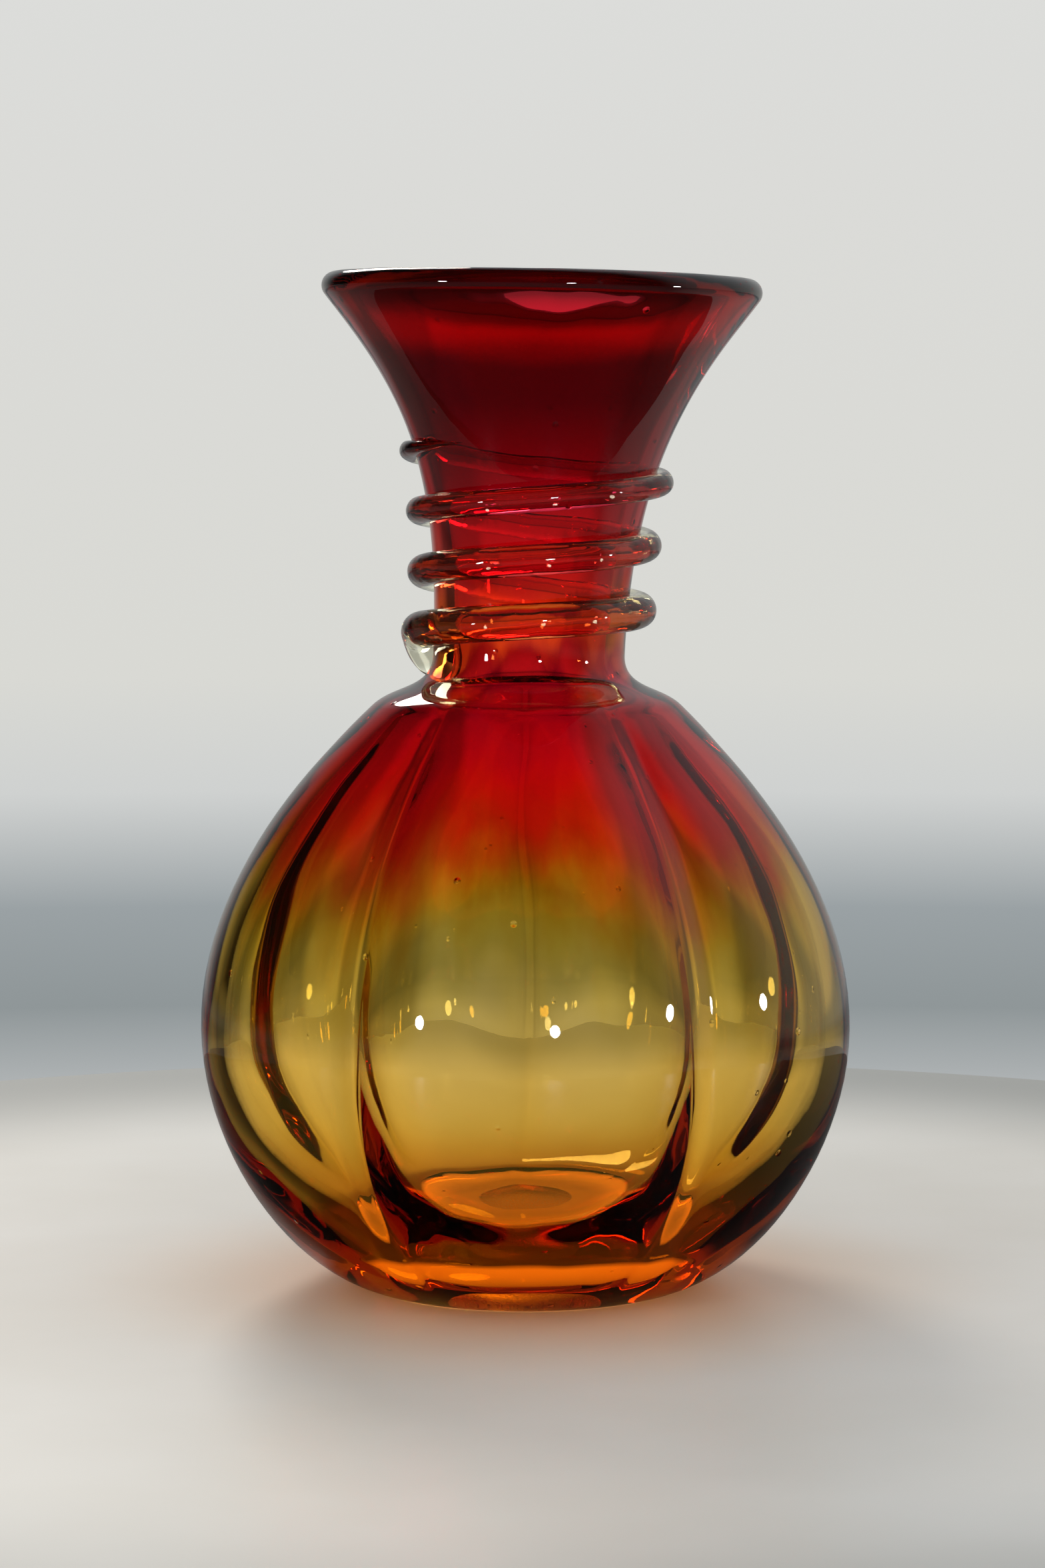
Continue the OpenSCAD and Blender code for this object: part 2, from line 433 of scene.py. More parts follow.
@dataclass
class BlownVessel:
    """The bubble: foot, lobed body, neck, flared mouth and lip, with its pontil mark ground out."""

    height: float = 177 * MM
    body_r: float = 57.7 * MM
    body_z: float = 46 * MM
    foot_r: float = 28 * MM
    neck_r: float = 16.8 * MM
    neck_z: float = 111 * MM
    mouth_r: float = 38.4 * MM
    body_wall: float = 4.6 * MM
    neck_wall: float = 3.5 * MM
    lip_wall: float = 4.8 * MM
    floor_wall: float = 8.5 * MM
    foot_heading: float = 13.0
    shoulder_out: float = 10.4 * MM
    shoulder_down: float = 8.8 * MM
    shoulder_wall: float = 0.9 * MM
    flare_out: float = 6 * MM
    flare_down: float = 28 * MM
    lip_heading: float = 54.0
    lobes: int = 5
    lobe_bulge: float = 0.3
    rib_bulge: float = 0.13
    groove_crease: float = 0.995
    lean: float = 2.9 * MM
    lip_fall: float = 1.1
    pontil_r: float = 10.5 * MM
    pontil_depth: float = 1.6 * MM
    ripple: float = 0.16 * MM
    ripple_size: float = 13 * MM
    ripple_rise: tuple[float, float] = (1 * MM, 7 * MM)
    weld: float = 0.01 * MM
    columns: int = 240
    rows_per_span: int = 22
    lobe_rise: float = 24 * MM
    lobe_fall: tuple[float, float] = (92 * MM, 106 * MM)
    lean_rise: tuple[float, float] = (88 * MM, 165 * MM)
    tip_from: float = 110 * MM
    finish: StruckGlass = field(default_factory=StruckGlass)
    ground: GroundGlass = field(default_factory=GroundGlass)

    def outline(self) -> list[Knot]:
        """The knots of the outline, from the pontil mark out, up the outside and down the inside.

        The shoulder and the flare are placed from the narrowest part of the neck.
        """
        lip_r = self.lip_wall / 2
        turn = math.radians(self.lip_heading)
        rim_r = self.mouth_r - lip_r * (1 - math.sin(turn))
        rim_z = self.height - lip_r * (1 + math.cos(turn))
        neck_r, neck_z = self.neck_r, self.neck_z
        outside = [
            Knot(self.body_r, self.body_z, 90, 21 * MM, 24 * MM),
            Knot(neck_r + self.shoulder_out, neck_z - self.shoulder_down, 138, 18 * MM, 5 * MM),
            Knot(neck_r, neck_z, 90, 6 * MM, 16 * MM),
            Knot(neck_r + self.flare_out, self.height - self.flare_down, 69, 11 * MM, 12.5 * MM),
            Knot(rim_r, rim_z, self.lip_heading, 5 * MM, 0),
        ]
        shoulder = self.neck_wall + self.shoulder_wall
        walls = [self.body_wall, shoulder, self.neck_wall, self.neck_wall, self.lip_wall]
        inside = [knot.behind(wall) for knot, wall in zip(outside, walls)]
        dish = math.degrees(2 * math.atan(self.pontil_depth / self.pontil_r))
        dish_reach = self.pontil_r / 3
        return [
            Knot(0, self.pontil_depth, 0, 0, dish_reach),
            Knot(self.pontil_r, 0, -dish, dish_reach, 0),
            Knot(self.foot_r, 0, self.foot_heading, 0, 14.5 * MM),
            *outside[:-1],
            *self.lip(outside[-1], lip_r),
            *reversed(inside[:-1]),
            Knot(self.foot_r - 4 * MM, self.floor_wall + 1 * MM, 192, 10 * MM, 6 * MM),
            Knot(0, self.floor_wall, 180, 10 * MM, 0),
        ]

    @staticmethod
    def lip(rim: Knot, lip_r: float, arcs: int = 3) -> list[Knot]:
        """The knots of the rounded lip, half a circle from the outside to the inside.

        Args:
            rim: the last knot of the outside.
            lip_r: the radius of the lip's section.
            arcs: how many spans the half circle is made of.

        Returns:
            The rim's own knot and those after it, down to the first one of the inside.
        """
        turn = math.radians(rim.heading)
        centre_r = rim.radius - lip_r * math.sin(turn)
        centre_z = rim.height + lip_r * math.cos(turn)
        reach = lip_r * 4 / 3 * math.tan(math.pi / arcs / 4)
        knots = []
        for i in range(arcs + 1):
            heading = rim.heading + 180 * i / arcs
            out = math.radians(heading - 90)
            back = rim.back if i == 0 else reach
            ahead = rim.back if i == arcs else reach
            knots.append(
                Knot(centre_r + lip_r * math.cos(out), centre_z + lip_r * math.sin(out), heading, back, ahead)
            )
        return knots

    def outline_curve(self) -> bpy.types.Object:
        """The outline as a curve object, for the tree to turn about the axis."""
        curve = bpy.data.curves.new("vessel_outline", "CURVE")
        curve.dimensions = "3D"
        curve.resolution_u = self.rows_per_span
        spline = curve.splines.new("BEZIER")
        knots = self.outline()
        spline.bezier_points.add(len(knots) - 1)
        for point, knot in zip(spline.bezier_points, knots):
            point.handle_left_type = point.handle_right_type = "FREE"
            point.co = knot.at(0)
            point.handle_left = knot.at(-knot.back)
            point.handle_right = knot.at(knot.ahead)
        made = bpy.data.objects.new("vessel_outline", curve)
        bpy.context.scene.collection.objects.link(made)
        return made

    def shape(
        self, outline: bpy.types.Object, finish: bpy.types.Material, ground: bpy.types.Material
    ) -> ShapeTree:
        """The tree that turns the outline into lobed, leaning, faintly rippled glass.

        Args:
            outline: the outline's curve.
            finish: the material of the glass.
            ground: the material of the ground pontil mark.

        Returns:
            The tree, ready to bake.
        """
        # The outline has this many spans between knots from the dish to the inside of the lip.
        spans_to_lip = 8
        shape = ShapeTree("lobed_bubble")
        shape.declare(Kind.OBJECT, Outline=outline)
        shape.declare(Kind.FINISH, Glass=finish, Ground_glass=ground)
        shape.declare(
            Kind.COUNT,
            Columns=self.columns,
            Rows_to_the_lip=spans_to_lip * self.rows_per_span,
            Rows_of_the_dish=self.rows_per_span,
        )
        shape.declare(
            Kind.NUMBER,
            Lobes=float(self.lobes),
            Lobe_bulge=self.lobe_bulge,
            Rib_bulge=self.rib_bulge,
            Groove_crease=self.groove_crease,
            Lean=self.lean,
            Lip_fall=math.radians(self.lip_fall),
            Height=self.height,
            Ripple=self.ripple,
            Ripple_size=self.ripple_size,
        )
        add, read = shape.add, shape.read

        line = add("GeometryNodeObjectInfo", read("Outline"))
        dots = add("GeometryNodeCurveToPoints", line.outputs["Geometry"], mode="EVALUATED")
        rows = add("GeometryNodeAttributeDomainSize", dots, component="POINTCLOUD")
        stations = add("ShaderNodeMath", read("Columns"), 1.0, operation="ADD")
        sheet = add(
            "GeometryNodeMeshGrid", into={"Vertices X": stations, "Vertices Y": rows.outputs["Point Count"]}
        )
        index = add("GeometryNodeInputIndex")
        column = add("ShaderNodeMath", index, rows.outputs["Point Count"], operation="DIVIDE")
        column = add("ShaderNodeMath", column, operation="FLOOR")
        row = add("ShaderNodeMath", index, rows.outputs["Point Count"], operation="MODULO")
        place = add(
            "GeometryNodeSampleIndex", dots, add("GeometryNodeInputPosition"), row, data_type="FLOAT_VECTOR"
        )
        place = add("ShaderNodeSeparateXYZ", place)
        radius, height = place.outputs["X"], place.outputs["Z"]
        step = add("ShaderNodeMath", math.tau, read("Columns"), operation="DIVIDE")
        turn = add("ShaderNodeMath", column, step, operation="MULTIPLY")

        # A lobe is an arc whose centre lies off the axis. Its turn is folded at each groove, which
        # the crease rounds off. The inside bulges more, so a rib is left under the groove.
        from_front = add("ShaderNodeMath", turn, FRONT, operation="SUBTRACT")
        fold = add("ShaderNodeMath", from_front, read("Lobes"), operation="MULTIPLY")
        fold = add("ShaderNodeMath", fold, operation="COSINE")
        fold = add("ShaderNodeMath", fold, read("Groove_crease"), operation="MULTIPLY")
        fold = add("ShaderNodeMath", fold, operation="ARCCOSINE")
        fold = add("ShaderNodeMath", fold, read("Lobes"), operation="DIVIDE")
        inner = add("ShaderNodeMath", row, read("Rows_to_the_lip"), operation="GREATER_THAN")
        bulge = add("ShaderNodeMath", inner, read("Rib_bulge"), read("Lobe_bulge"), operation="MULTIPLY_ADD")
        across = add("ShaderNodeMath", fold, operation="SINE")
        across = add("ShaderNodeMath", across, bulge, operation="MULTIPLY")
        across = add("ShaderNodeMath", across, across, operation="MULTIPLY")
        arc = add("ShaderNodeMath", 1.0, bulge, operation="SUBTRACT")
        arc = add("ShaderNodeMath", arc, arc, operation="MULTIPLY")
        reach = add("ShaderNodeMath", arc, across, operation="SUBTRACT")
        reach = add("ShaderNodeMath", reach, operation="SQRT")
        along = add("ShaderNodeMath", fold, operation="COSINE")
        share = add("ShaderNodeMath", along, bulge, reach, operation="MULTIPLY_ADD")
        rise = add("ShaderNodeMapRange", height, 0.0, self.lobe_rise, **SMOOTH)
        fall = add("ShaderNodeMapRange", height, *self.lobe_fall, 1.0, 0.0, **SMOOTH)
        lobed = add("ShaderNodeMath", rise, fall, operation="MULTIPLY")
        drawn_in = add("ShaderNodeMath", 1.0, share, operation="SUBTRACT")
        drawn_in = add("ShaderNodeMath", drawn_in, lobed, operation="MULTIPLY")
        drawn_in = add("ShaderNodeMath", 1.0, drawn_in, operation="SUBTRACT")
        radius = add("ShaderNodeMath", radius, drawn_in, operation="MULTIPLY")

        # The hot neck leaned over and its lip tipped, as one.
        leaning = add("ShaderNodeMapRange", height, *self.lean_rise, 0.0, read("Lean"), **SMOOTH)
        tipping = add(
            "ShaderNodeMapRange", height, self.tip_from, read("Height"), 0.0, read("Lip_fall"), **SMOOTH
        )
        cosine = add("ShaderNodeMath", turn, operation="COSINE")
        sine = add("ShaderNodeMath", turn, operation="SINE")
        x = add("ShaderNodeMath", radius, cosine, operation="MULTIPLY")
        y = add("ShaderNodeMath", radius, sine, operation="MULTIPLY")
        drop = add("ShaderNodeMath", tipping, operation="SINE")
        drop = add("ShaderNodeMath", x, drop, operation="MULTIPLY")
        z = add("ShaderNodeMath", height, drop, operation="SUBTRACT")
        x = add("ShaderNodeMath", x, leaning, operation="ADD")
        where = add("ShaderNodeCombineXYZ", x, y, z)
        shell = add("GeometryNodeSetPosition", sheet, into={"Position": where})
        shell = add("GeometryNodeSetMaterial", shell, into={"Material": read("Glass")})
        corner_row = add("GeometryNodeFieldOnDomain", row, data_type="FLOAT", domain="POINT")
        dish = add("ShaderNodeMath", corner_row, read("Rows_of_the_dish"), operation="LESS_THAN")
        dished = add("GeometryNodeSetMaterial", shell, dish, read("Ground_glass"))
        closed = add("GeometryNodeMergeByDistance", dished, into={"Distance": self.weld})

        # The skin is never quite true: slow ripples, drawn upwards, that leave the flat foot alone.
        spot = add("GeometryNodeInputPosition")
        tall = add("ShaderNodeVectorMath", spot, (1.0, 1.0, 0.45), operation="MULTIPLY")
        pace = add("ShaderNodeMath", 1.0, read("Ripple_size"), operation="DIVIDE")
        waves = add("ShaderNodeTexNoise", into={"Vector": tall, "Scale": pace, "Detail": 1.5})
        waves = add("ShaderNodeMath", waves, 0.5, operation="SUBTRACT")
        waves = add("ShaderNodeMath", waves, read("Ripple"), operation="MULTIPLY")
        clear = add("ShaderNodeSeparateXYZ", spot)
        clear = add("ShaderNodeMapRange", clear.outputs["Z"], *self.ripple_rise, 0.0, 2.0, **SMOOTH)
        waves = add("ShaderNodeMath", waves, clear, operation="MULTIPLY")
        outwards = add("GeometryNodeInputNormal")
        swell = add("ShaderNodeVectorMath", outwards, into={"Scale": waves}, operation="SCALE")
        rippled = add("GeometryNodeSetPosition", closed, into={"Offset": swell})
        skin = add("GeometryNodeSetShadeSmooth", rippled)
        whole = add("GeometryNodeRealizeInstances", skin)
        shape.finish(whole)
        return shape

    def build(self) -> bpy.types.Object:
        """Makes the vessel, dresses it and gives it its place in the frame."""
        outline = self.outline_curve()
        piece = self.shape(outline, self.finish.build(), self.ground.build()).bake("vessel_blown_glass")
        bpy.data.objects.remove(outline)
        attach(piece, "root")
        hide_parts("blown_vessel")
        log.info("%s: %d faces", piece.name, len(piece.data.polygons))
        return piece


@dataclass
class NeckTrail:
    """The clear trail: a gather laid on the shoulder, wound up the neck and drawn out to a tail."""

    neck: BlownVessel
    turns: float = 3.15
    start: float = -30.0
    pitch: float = 10.5 * MM
    first_z: float = 115 * MM
    width: float = 6.5 * MM
    tail_share: float = 0.6
    tail_run: float = 80.0
    lift: float = 0.68
    blob_sag: float = 5 * MM
    blob_swell: float = 0.08
    blob_turn: float = 20.0
    round_turn: float = 18.0
    drop_right: float = 1.4 * MM
    lift_front: float = 0.8 * MM
    wound_r: float = 19 * MM
    level_fall: tuple[float, float] = (200, 800)
    sink: float = 0.12 * MM
    drawn_lines: float = 0.05 * MM
    line_size: float = 2 * MM
    ray_run: float = 80 * MM
    weld: float = 0.005 * MM
    stations: int = 470
    sides: int = 30
    finish: ClearGlass = field(default_factory=ClearGlass)

    def shape(self, neck: bpy.types.Object, finish: bpy.types.Material) -> ShapeTree:
        """The tree that winds the trail's section round the neck.

        The section is a round rod that has sunk on to the neck. Its skin is found by rays shot at
        the neck, so the two glasses meet everywhere.

        Args:
            neck: the finished vessel.
            finish: the material of the trail.

        Returns:
            The tree, ready to bake.
        """
        shape = ShapeTree("wound_trail")
        shape.declare(Kind.OBJECT, Neck=neck)
        shape.declare(Kind.FINISH, Glass=finish)
        shape.declare(Kind.COUNT, Stations=self.stations, Sides=self.sides)
        shape.declare(
            Kind.NUMBER,
            Start=math.radians(self.start),
            End=math.radians(360 * self.turns),
            Tail_run=math.radians(self.tail_run),
            Pitch=self.pitch,
            First_height=self.first_z,
            Width=self.width,
            Tail_share=self.tail_share,
            Lift=self.lift,
            Blob_sag=self.blob_sag,
            Blob_swell=self.blob_swell,
            Blob_turn=math.radians(self.blob_turn),
            Round_turn=math.radians(self.round_turn),
            Drop_right=self.drop_right,
            Lift_front=self.lift_front,
            Lean=self.neck.lean,
            Lip_fall=math.radians(self.neck.lip_fall),
            Height=self.neck.height,
            Sink=self.sink,
            Drawn_lines=self.drawn_lines,
        )
        add, read = shape.add, shape.read

        ring = add("ShaderNodeMath", read("Sides"), 1.0, operation="ADD")
        sheet = add("GeometryNodeMeshGrid", into={"Vertices X": read("Stations"), "Vertices Y": ring})
        index = add("GeometryNodeInputIndex")
        station = add("ShaderNodeMath", index, ring, operation="DIVIDE")
        station = add("ShaderNodeMath", station, operation="FLOOR")
        side = add("ShaderNodeMath", index, ring, operation="MODULO")
        side = add("ShaderNodeMath", side, read("Sides"), operation="MODULO")
        last_station = add("ShaderNodeMath", read("Stations"), 1.0, operation="SUBTRACT")
        last_side = add("ShaderNodeMath", read("Sides"), 1.0, operation="SUBTRACT")
        along = add("ShaderNodeMapRange", station, 0.0, last_station, read("Start"), read("End"))
        turn = add("ShaderNodeMath", along, LEFT, operation="ADD")

        # Width: a swollen round start, a slow taper, and a tail drawn out to a point.
        tail_from = add("ShaderNodeMath", read("End"), read("Tail_run"), operation="SUBTRACT")
        tail_width = add("ShaderNodeMath", read("Width"), read("Tail_share"), operation="MULTIPLY")
        width = add("ShaderNodeMapRange", along, 0.0, tail_from, read("Width"), tail_width, clamp=False)
        swell = add("ShaderNodeMath", along, read("Blob_turn"), operation="DIVIDE")
        swell = add("ShaderNodeMath", swell, swell, operation="MULTIPLY")
        swell = add("ShaderNodeMath", swell, -1.0, operation="MULTIPLY")
        swell = add("ShaderNodeMath", swell, operation="EXPONENT")
        swell = add("ShaderNodeMath", swell, read("Blob_swell"), 1.0, operation="MULTIPLY_ADD")
        started = add("ShaderNodeMath", along, read("Start"), operation="SUBTRACT")
        unrounded = add("ShaderNodeMapRange", started, 0.0, read("Round_turn"), 1.0, 0.0)
        rounded = add("ShaderNodeMath", unrounded, unrounded, operation="MULTIPLY")
        rounded = add("ShaderNodeMath", 1.0, rounded, operation="SUBTRACT")
        tail = add("ShaderNodeMapRange", along, tail_from, read("End"), 1.0, 0.0, **SMOOTH)
        ends = add("ShaderNodeMath", rounded, tail, operation="MULTIPLY")
        ends = add("ShaderNodeMath", ends, operation="SQRT")
        width = add("ShaderNodeMath", width, swell, operation="MULTIPLY")
        width = add("ShaderNodeMath", width, ends, operation="MULTIPLY")
        rod_r = add("ShaderNodeMath", width, 0.5, operation="MULTIPLY")

        # Height: the first gather sags, and the early turns run level in front and climb behind.
        climb = add("ShaderNodeMath", along, 1 / math.tau, operation="MULTIPLY")
        climb = add("ShaderNodeMath", climb, read("Pitch"), read("First_height"), operation="MULTIPLY_ADD")
        sag = add("ShaderNodeMapRange", along, read("Start"), 0.0, read("Blob_sag"), 0.0, **SMOOTH)
        climb = add("ShaderNodeMath", climb, sag, operation="SUBTRACT")
        sine = add("ShaderNodeMath", along, operation="SINE")
        cosine = add("ShaderNodeMath", along, operation="COSINE")
        behind = add("ShaderNodeMath", 1.0, cosine, operation="SUBTRACT")
        behind = add("ShaderNodeMath", behind, read("Drop_right"), operation="MULTIPLY")
        behind = add("ShaderNodeMath", behind, -0.5, operation="MULTIPLY")
        wander = add("ShaderNodeMath", sine, read("Lift_front"), behind, operation="MULTIPLY_ADD")
        level_fall = [math.radians(turn) for turn in self.level_fall]
        levels = add("ShaderNodeMapRange", along, *level_fall, 1.0, 0.0, **SMOOTH)
        middle = add("ShaderNodeMath", wander, levels, climb, operation="MULTIPLY_ADD")

        # The section's angle runs over the rod from one edge of the seat to the other.
        spread = add("ShaderNodeMath", read("Lift"), operation="ARCSINE")
        over = add("ShaderNodeMath", math.pi, spread, operation="ADD")
        spread = add("ShaderNodeMath", spread, -1.0, operation="MULTIPLY")
        angle = add("ShaderNodeMapRange", side, 0.0, last_side, spread, over)
        bowed = add("ShaderNodeMath", angle, operation="SINE")
        bowed = add("ShaderNodeMath", bowed, read("Lift"), operation="ADD")
        out = add("ShaderNodeMath", bowed, rod_r, operation="MULTIPLY")
        most = add("ShaderNodeMath", read("Lift"), 1.0, operation="ADD")
        far = add("ShaderNodeMath", bowed, most, operation="DIVIDE")
        up = add("ShaderNodeMath", angle, operation="COSINE")
        up = add("ShaderNodeMath", up, rod_r, middle, operation="MULTIPLY_ADD")

        # The neck leans and its lip tips, so heights shift a little with the turn.
        cos_turn = add("ShaderNodeMath", turn, operation="COSINE")
        sin_turn = add("ShaderNodeMath", turn, operation="SINE")
        neck = self.neck
        leaning = add("ShaderNodeMapRange", middle, *neck.lean_rise, 0.0, read("Lean"), **SMOOTH)
        tipping = add(
            "ShaderNodeMapRange", middle, neck.tip_from, read("Height"), 0.0, read("Lip_fall"), **SMOOTH
        )
        tipping = add("ShaderNodeMath", tipping, operation="SINE")
        tipping = add("ShaderNodeMath", tipping, cos_turn, operation="MULTIPLY")
        fallen = add("ShaderNodeMath", tipping, -self.wound_r, operation="MULTIPLY")
        up = add("ShaderNodeMath", up, fallen, operation="ADD")
        middle = add("ShaderNodeMath", middle, fallen, operation="ADD")

        # Rays from outside find the neck at the skin's own height and at the rod's middle.
        away = self.ray_run
        outward = add("ShaderNodeCombineXYZ", cos_turn, sin_turn, 0.0)
        inward = add("ShaderNodeVectorMath", outward, into={"Scale": -1.0}, operation="SCALE")
        target = add("GeometryNodeObjectInfo", read("Neck")).outputs["Geometry"]
        necks = []
        for level in (up, middle):
            axis = add("ShaderNodeCombineXYZ", leaning, 0.0, level)
            source = add("ShaderNodeVectorMath", outward, into={"Scale": away}, operation="SCALE")
            source = add("ShaderNodeVectorMath", source, axis, operation="ADD")
            ray = add(
                "GeometryNodeRaycast",
                target,
                into={"Source Position": source, "Ray Direction": inward, "Ray Length": away},
            )
            necks.append(add("ShaderNodeMath", away, ray.outputs["Hit Distance"], operation="SUBTRACT"))
        near = add("ShaderNodeMath", 1.0, far, operation="SUBTRACT")
        near = add("ShaderNodeMath", near, necks[0], operation="MULTIPLY")
        seat = add("ShaderNodeMath", necks[1], far, near, operation="MULTIPLY_ADD")
        seat = add("ShaderNodeMath", seat, read("Sink"), operation="SUBTRACT")

        # Drawing the rod leaves fine lines along it, strongest on the part that stands proud.
        around = add("ShaderNodeCombineXYZ", bowed, up, along)
        around = add(
            "ShaderNodeVectorMath", around, (2.0, 1 / self.line_size, 0.35), operation="MULTIPLY"
        )
        lines = add("ShaderNodeTexNoise", into={"Vector": around, "Scale": 1.0, "Detail": 2.0})
        lines = add("ShaderNodeMath", lines, 0.5, operation="SUBTRACT")
        lines = add("ShaderNodeMath", lines, read("Drawn_lines"), operation="MULTIPLY")
        lines = add("ShaderNodeMath", lines, far, operation="MULTIPLY")
        lines = add("ShaderNodeMath", lines, ends, operation="MULTIPLY")
        radius = add("ShaderNodeMath", seat, out, operation="ADD")
        radius = add("ShaderNodeMath", radius, lines, operation="ADD")
        x = add("ShaderNodeMath", radius, cos_turn, leaning, operation="MULTIPLY_ADD")
        y = add("ShaderNodeMath", radius, sin_turn, operation="MULTIPLY")
        tube = add("GeometryNodeSetPosition", sheet, into={"Position": add("ShaderNodeCombineXYZ", x, y, up)})
        closed = add("GeometryNodeMergeByDistance", tube, into={"Distance": self.weld})
        outside = add("GeometryNodeFlipFaces", closed)
        skin = add("GeometryNodeSetShadeSmooth", outside)
        whole = add("GeometryNodeRealizeInstances", skin)
        dressed = add("GeometryNodeSetMaterial", whole, into={"Material": read("Glass")})
        shape.finish(dressed)
        return shape

    def build(self, vessel: bpy.types.Object) -> bpy.types.Object:
        """Makes the trail on the finished vessel, dresses it and gives it its place in the frame.

        Args:
            vessel: the finished vessel.

        Returns:
            The trail.
        """
        piece = self.shape(vessel, self.finish.build()).bake("trail_clear_glass")
        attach(piece, "root")
        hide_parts("neck_trail")
        log.info("%s: %d faces", piece.name, len(piece.data.polygons))
        return piece


# ---- the studio ----------------------------------------------------------------------------------


@dataclass
class Studio:
    """A pale round table in front of a pale backdrop, with soft lights, and the camera.

    The glow of the table, and what the backdrop shows to the glass alone, belong to the stage.
    """

    table_r: float = 255 * MM
    table_half: float = 12 * MM
    table_edge: float = 3 * MM
    table_gap: float = 0.1 * MM
    window_size: float = 0.5
    window_place: tuple[float, float, float] = (-0.35, 1.15, 0.95)
    window_power: float = 7.0
    lamp_turns: tuple[float, float, float] = (-52, 14, 73)
    lamp_run: float = 950 * MM
    lamp_z: float = 150 * MM
    lamp_size: float = 75 * MM
    lamp_power: float = 0.9
    pool_r: float = 28 * MM
    pool_light: float = 1.1
    pool_spill: float = 0.07
    glare: float = 1.6
    strips: float = 8.0
    strip_light: tuple[float, float] = (0.62, 1.05)
    side_share: float = 0.75
    room_light: tuple[float, float] = (0.015, 0.6)
    low_light: float = 0.2
    focal: float = 95.5
    sensor: float = 36.0
    camera_place: tuple[float, float, float] = (-0.5 * MM, -729.1 * MM, 151.05 * MM)
    camera_tilt: float = 85.073
    passed_bounces: int = 40
    mirrored_bounces: int = 24

    def table(self) -> bpy.types.Object:
        """The pale table top, with its edge rounded off."""
        curve = bpy.data.curves.new("table_edge", "CURVE")
        curve.dimensions = "2D"
        curve.fill_mode = "BOTH"
        curve.resolution_u = 48
        curve.bevel_depth = self.table_edge
        curve.extrude = self.table_half - self.table_edge
        curve.bevel_resolution = 3
        spline = curve.splines.new("BEZIER")
        spline.bezier_points.add(3)
        for i, point in enumerate(spline.bezier_points):
            turn = math.radians(90 * i)
            point.handle_left_type = point.handle_right_type = "AUTO"
            point.co = (self.table_r * math.cos(turn), self.table_r * math.sin(turn), 0)
        spline.use_cyclic_u = True
        made = bpy.data.objects.new("table_top", curve)
        made.location.z = -self.table_half - self.table_gap
        bpy.context.scene.collection.objects.link(made)
        made.data.materials.append(self.paint())
        return made

    def paint(self) -> bpy.types.Material:
        """Old pale paint on wood: warm white, a little mottled, with a dull sheen. It also carries painted
        light and shade: a warm tint and a glow round the foot, painted shade darker towards the edge, and a
        dimmer table in what the glass mirrors.
        """
        material = empty_material("painted_wood_pale")
        tree = material.node_tree
        place = add_node(tree, "ShaderNodeTexCoord").outputs["Object"]
        clouds = add_node(tree, "ShaderNodeTexNoise", into={"Vector": place, "Scale": 16.0, "Detail": 6.0})
        tone = add_node(
            tree,
            "ShaderNodeMix",
            clouds.outputs[0],
            into={"A": linear("#ccc6bc"), "B": linear("#dedbd6")},
            data_type="RGBA",
        )
        # Distance from the middle of the top. The stretch in height keeps the underside out of it.
        middle = add_node(
            tree,
            "ShaderNodeVectorMath",
            place,
            *((1.0, 1.0, 6.0), (0.0, 0.0, -6.0 * self.table_half)),
            operation="MULTIPLY_ADD",
        )
        middle = add_node(tree, "ShaderNodeVectorMath", middle, operation="LENGTH")
        # A warm tint stands in for the light that comes through the glass on to the table.
        warm = add_node(
            tree,
            "ShaderNodeMapRange",
            middle.outputs["Value"],
            *(self.pool_r, 3.2 * self.pool_r, 0.6, 0.0),
            **SMOOTH,
        )
        tone = add_node(tree, "ShaderNodeMix", warm, tone, linear("#dcb690"), data_type="RGBA")
        # Painted shade: the colour darkens towards the edge of the top.
        edge_shade = add_node(
            tree,
            "ShaderNodeMapRange",
            middle.outputs["Value"],
            *(0.6 * self.table_r, 0.97 * self.table_r),
            **SMOOTH,
        )
        tone = add_node(tree, "ShaderNodeMix", edge_shade, tone, linear("#9c9c98"), data_type="RGBA")
        # In what the glass mirrors, the table is as dim as the room.
        path = add_node(tree, "ShaderNodeLightPath")
        mirrored = add_node(tree, "ShaderNodeMath", path.outputs["Glossy Depth"], 1.0, operation="MINIMUM")
        tone = add_node(tree, "ShaderNodeMix", mirrored, tone, linear("#3c3936"), data_type="RGBA")
        # A glow stands in for the light that the body gathers under the foot, brightest at its rim.
        pool = add_node(
            tree,
            "ShaderNodeMapRange",
            middle.outputs["Value"],
            *(self.pool_r, 0.93 * self.pool_r, 0.0, self.pool_light),
        )
        ring = add_node(
            tree,
            "ShaderNodeMapRange",
            middle.outputs["Value"],
            *(0.5 * self.pool_r, 0.95 * self.pool_r, 0.3, 1.0),
            **SMOOTH,
        )
        spill = add_node(
            tree,
            "ShaderNodeMapRange",
            middle.outputs["Value"],
            *(self.pool_r, 2.1 * self.pool_r, self.pool_spill, 0.0),
            **SMOOTH,
        )
        pool = add_node(tree, "ShaderNodeMath", pool, ring, spill, operation="MULTIPLY_ADD")
        shader = add_node(
            tree,
            "ShaderNodeBsdfPrincipled",
            into={
                "Base Color": tone,
                "Roughness": 0.42,
                "Emission Color": linear("#ffac70"),
                "Emission Strength": pool,
            },
        )
        add_node(tree, "ShaderNodeOutputMaterial", into={"Surface": shader})
        return material

